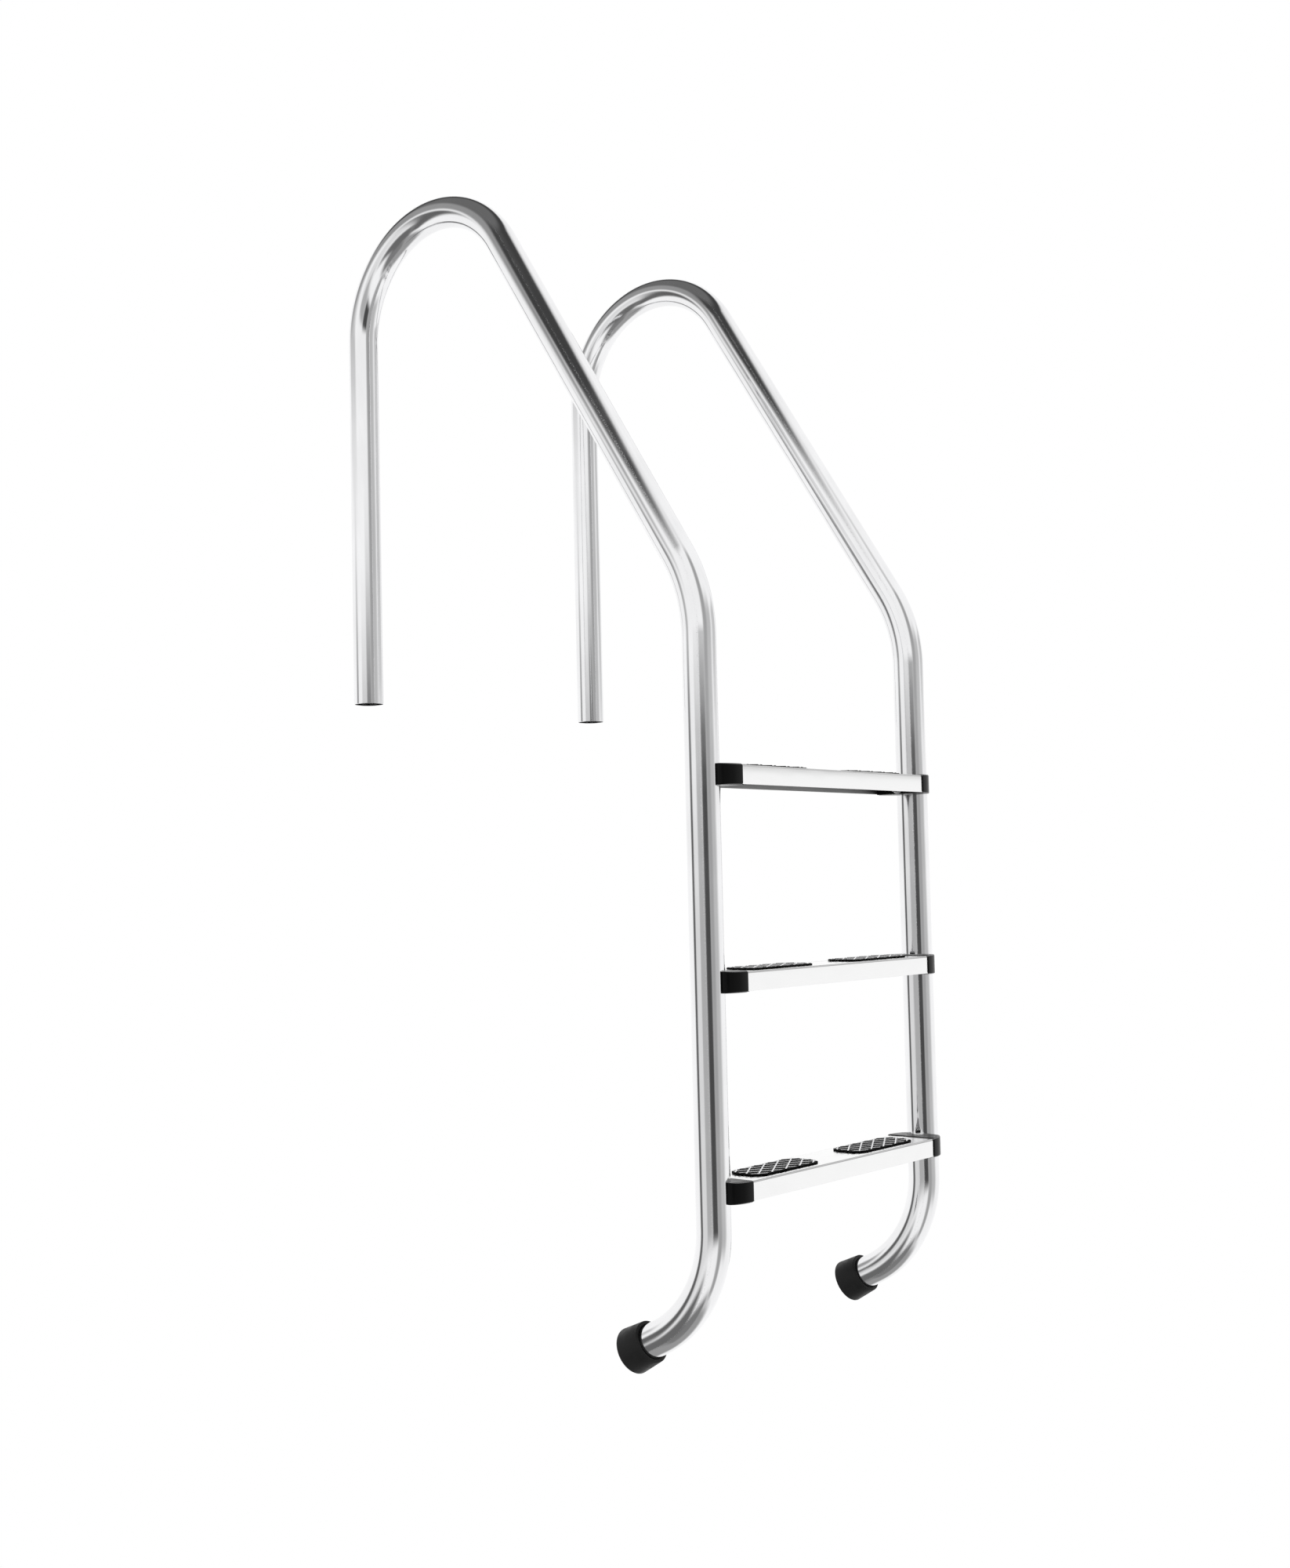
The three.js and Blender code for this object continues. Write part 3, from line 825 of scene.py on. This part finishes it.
def lattice_plate():
    """A plate whose top carries crossing ribs with a low stud in each cell, larger than a pad."""
    pitch = RIB_SPACING / math.sin(2 * RIB_SLANT)
    one = Vector((math.cos(RIB_SLANT), math.sin(RIB_SLANT))) * pitch
    two = Vector((math.cos(RIB_SLANT), -math.sin(RIB_SLANT))) * pitch
    rib = RIB_HALF_WIDTH / RIB_SPACING
    # Places across a cell from the middle of one rib to the next, close together on the ribs
    half_cell = [0, 0.3 * rib, 0.6 * rib, 0.85 * rib, rib, 0.17, 0.23, 0.3, 0.4, 0.5]
    cell = half_cell + [1 - t for t in half_cell[-2:0:-1]]
    marks = [c + t for c in LATTICE_CELLS for t in cell] + [float(LATTICE_CELLS[-1] + 1)]
    top, bottom = GAP + PAD_SLAB, GAP + 0.5 * PAD_SLAB
    vertices = []
    for a in marks:
        for b in marks:
            off_a, off_b = abs(a - round(a)), abs(b - round(b))
            off_stud = max(0.5 - off_a, 0.5 - off_b) / STUD_HALF_SIZE
            stud = STUD_HEIGHT * max(0.0, 1 - off_stud**4)
            rise = max(rib_profile(off_a * RIB_SPACING), rib_profile(off_b * RIB_SPACING), stud)
            point = one * a + two * b
            vertices.append(Vector((point.x, point.y, top + rise)))
    size = len(marks)
    last = size - 1
    corners = [i * size + j for i in range(last) for j in range(last)]
    faces = [[k, k + 1, k + size + 1, k + size] for k in corners]
    rim = list(range(size))
    rim += [i * size + last for i in range(1, size)]
    rim += [last * size + j for j in range(last - 1, -1, -1)]
    rim += [i * size for i in range(last - 1, 0, -1)]
    low = len(vertices)
    vertices += [Vector((vertices[k].x, vertices[k].y, bottom)) for k in rim]
    for i, k in enumerate(rim):
        following = (i + 1) % len(rim)
        faces.append([k, low + i, low + following, rim[following]])
    faces.append([low + i for i in range(len(rim))])
    return outward(mesh_piece("lattice", vertices, faces))


def pad_mesh():
    """One pad: slab with a groove round its edge, lattice on top, two pegs below."""
    plate = lattice_plate()
    outline = oblong(LATTICE_INSET)
    window = loft("window", [[Vector((x, y, z)) for x, y in outline] for z in (0.0, 6 * MM)])
    combine(plate, window, "INTERSECT")
    # (height, inset) in mm: lower rounding, groove, upper rounding
    edge = [(0.0, 0.4), (0.2, 0.1), (0.5, 0.0), (0.7, 0.0)]
    edge += [(0.78, 0.4), (0.98, 0.4)]
    edge += [(1.06, 0.0), (1.3, 0.05), (1.48, 0.3), (1.6, 0.8)]
    rings = []
    for z, inset in edge:
        rings.append([Vector((x, y, GAP + z * MM)) for x, y in oblong(inset * MM)])
    slab = loft("slab", rings)
    combine(slab, plate, "UNION")
    root = GAP + PEG_ROOT
    tip = root - PEG_LENGTH
    for offset in (-PEG_OFFSET, PEG_OFFSET):
        profile = [(tip, PEG_RADIUS - 0.8 * MM), (tip + 0.3 * MM, PEG_RADIUS - 0.3 * MM)]
        profile += [(tip + 0.8 * MM, PEG_RADIUS), (root, PEG_RADIUS)]
        peg = turned("peg", profile, HOLE_SIDES)
        peg.data.transform(Matrix.Translation((offset, 0, 0)) @ X_TO_Z)
        combine(slab, peg, "UNION")
    smooth(slab, 40)
    mesh = slab.data
    bpy.data.objects.remove(slab)
    return mesh


def pad(level, side_name, mesh):
    """One copy of the pad on its tread."""
    piece = bpy.data.objects.new(f"{level}_{side_name}_grip_pad", mesh.copy())
    bpy.context.scene.collection.objects.link(piece)
    piece.location = (SIDES[side_name] * PAD_X, -REACH, STEP_Z[level])
    add_piece(piece, PAD_PLASTIC, f"{level}_{side_name}_pad")


# Feet


def foot(side_name):
    """A rubber cup on the end of the upright, with a flat base and a rounded rim."""
    bore = TUBE_RADIUS + GAP
    r = FOOT_ROUND
    rim_middle = (bore + FOOT_RIM_RADIUS) / 2
    rim_half = (FOOT_RIM_RADIUS - bore) / 2
    profile = [(-FOOT_FLOOR, 0.0), (-FOOT_FLOOR, 0.6 * FOOT_BASE_RADIUS)]
    profile += arc(r - FOOT_FLOOR, FOOT_BASE_RADIUS - r, r, r, 180, 90, 8)
    profile += arc(FOOT_GRIP - FOOT_LIP, rim_middle, FOOT_LIP, rim_half, 90, -90, 16)
    profile += [(-GAP, bore), (-GAP, 0.0)]
    piece = turned(f"{side_name}_rubber_foot", profile, FOOT_SIDES)
    y, z, heading = rail_stations()[-1]
    into_tube = Vector((0, math.sin(heading), -math.cos(heading)))
    piece.data.transform(Vector((1, 0, 0)).rotation_difference(into_tube).to_matrix().to_4x4())
    piece.location = (SIDES[side_name] * RAIL_X, y, z)
    smooth(piece, 30)
    add_piece(piece, FOOT_RUBBER, f"{side_name}_foot")


# Studio


def studio_world():
    """Pale walls and a darker ceiling, with a dark card and strips that show only in the steel."""
    n = Nodes(bpy.data.worlds.new("studio"))
    bpy.context.scene.world = n.owner
    direction = n.add("ShaderNodeTexCoord").outputs["Generated"]
    x, y, z = n.split(direction)
    elevation = n.degrees(n.math("ARCSINE", z))
    tone = n.ramp(elevation, *CEILING_FADE, WALL_TONE, CEILING_TONE)

    azimuth, rise = (math.radians(angle) for angle in CARD_AIM)
    aim = (math.cos(azimuth) * math.cos(rise), math.sin(azimuth) * math.cos(rise), math.sin(rise))
    facing = n.add("ShaderNodeVectorMath", {0: direction, 1: aim}, operation="DOT_PRODUCT")
    from_card = n.degrees(n.math("ARCCOSINE", facing.outputs["Value"]))
    card = n.ramp(from_card, *CARD_SHADING, *CARD_TONES)
    tone = n.mix(n.ramp(from_card, *CARD_EDGE, 1.0, 0.0), tone, card)

    def window(off, half, soft):
        return n.ramp(n.math("ABSOLUTE", off), half - soft, half + soft, 1.0, 0.0)

    for azimuth, rise, half_width, half_height, side_soft, end_soft, strip_tone in STRIPS:
        cos_a, sin_a = math.cos(math.radians(azimuth)), math.sin(math.radians(azimuth))
        ahead = n.math("ADD", n.math("MULTIPLY", x, cos_a), n.math("MULTIPLY", y, sin_a))
        aside = n.math("SUBTRACT", n.math("MULTIPLY", y, cos_a), n.math("MULTIPLY", x, sin_a))
        round_off = n.degrees(n.math("ARCTAN2", aside, ahead))
        across = window(round_off, half_width, side_soft)
        along = window(n.math("SUBTRACT", elevation, rise), half_height, end_soft)
        tone = n.mix(n.math("MULTIPLY", across, along), tone, strip_tone)

    background = n.tree.nodes["Background"]
    n.feed(tone, background.inputs["Color"])
    n.feed(1.0, background.inputs["Strength"])


def backdrop():
    """A round pale floor that sweeps up into a wall, seen by the camera but not by the steel."""
    floor_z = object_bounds()[0].z - FLOOR_DROP
    profile = [(MM, 0.0), (FLOOR_RADIUS / 2, 0.0)]
    for u, v in arc(0, 0, SWEEP_RADIUS, SWEEP_RADIUS, -90, 0, 16):
        profile.append((FLOOR_RADIUS + u, SWEEP_RADIUS + v))
    profile.append((FLOOR_RADIUS + SWEEP_RADIUS, BACKDROP_HEIGHT))
    rings = [[Vector((x, y, floor_z + z)) for x, y in circle(r, 96)] for r, z in profile]
    size = len(rings[0])
    faces = bands(size, len(rings)) + [list(range(size))]
    piece = mesh_piece("backdrop", [point for ring in rings for point in ring], faces)
    piece.data.shade_smooth()
    n = Nodes(bpy.data.materials.new("backdrop"))
    glow = n.add("ShaderNodeEmission", {"Color": (BACKDROP_TONE,) * 3 + (1,), "Strength": 1.0})
    n.feed(glow.outputs[0], n.tree.nodes["Material Output"].inputs["Surface"])
    piece.data.materials.append(n.owner)
    piece.visible_glossy = False
    piece.visible_diffuse = False
    piece.visible_shadow = False
    piece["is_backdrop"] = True


def soft_light():
    """One wide soft light overhead, left out of the reflections."""
    data = bpy.data.lights.new("overhead", "AREA")
    data.shape = "DISK"
    data.size = LIGHT_WIDTH
    data.energy = LIGHT_WATTS
    light = bpy.data.objects.new("overhead", data)
    light.location = LIGHT_PLACE
    light.visible_glossy = False
    light.visible_camera = False
    bpy.context.scene.collection.objects.link(light)


def camera():
    """On the water side, to the left, below the handles' middle and looking slightly up."""
    yaw, pitch, roll = (math.radians(angle) for angle in (CAMERA_YAW, CAMERA_PITCH, CAMERA_ROLL))
    ahead, rise = math.cos(pitch), math.sin(pitch)
    forward = Vector((ahead * math.sin(yaw), ahead * math.cos(yaw), rise))
    level_right = Vector((math.cos(yaw), -math.sin(yaw), 0))
    level_up = level_right.cross(forward)
    right = level_right * math.cos(roll) + level_up * math.sin(roll)
    up = level_up * math.cos(roll) - level_right * math.sin(roll)
    data = bpy.data.cameras.new("camera")
    data.lens = CAMERA_LENS_MM
    data.sensor_width = 36
    data.shift_x = CAMERA_SHIFT
    data.clip_end = 60
    eye = bpy.data.objects.new("camera", data)
    turn = Matrix((right, up, -forward)).transposed().to_4x4()
    eye.matrix_world = Matrix.Translation(CAMERA_PLACE) @ turn
    bpy.context.scene.collection.objects.link(eye)
    bpy.context.scene.camera = eye


for side in SIDES:
    rail(side)
    foot(side)
shared_pad = pad_mesh()
for level_name in LEVELS:
    tread(level_name)
    for side in SIDES:
        pad(level_name, side, shared_pad)
        cap(level_name, side)
        bolt(level_name, side)
        washer(level_name, side)
        insert(level_name, side)

camera()
studio_world()
soft_light()
backdrop()
bpy.context.scene.view_settings.view_transform = "Standard"
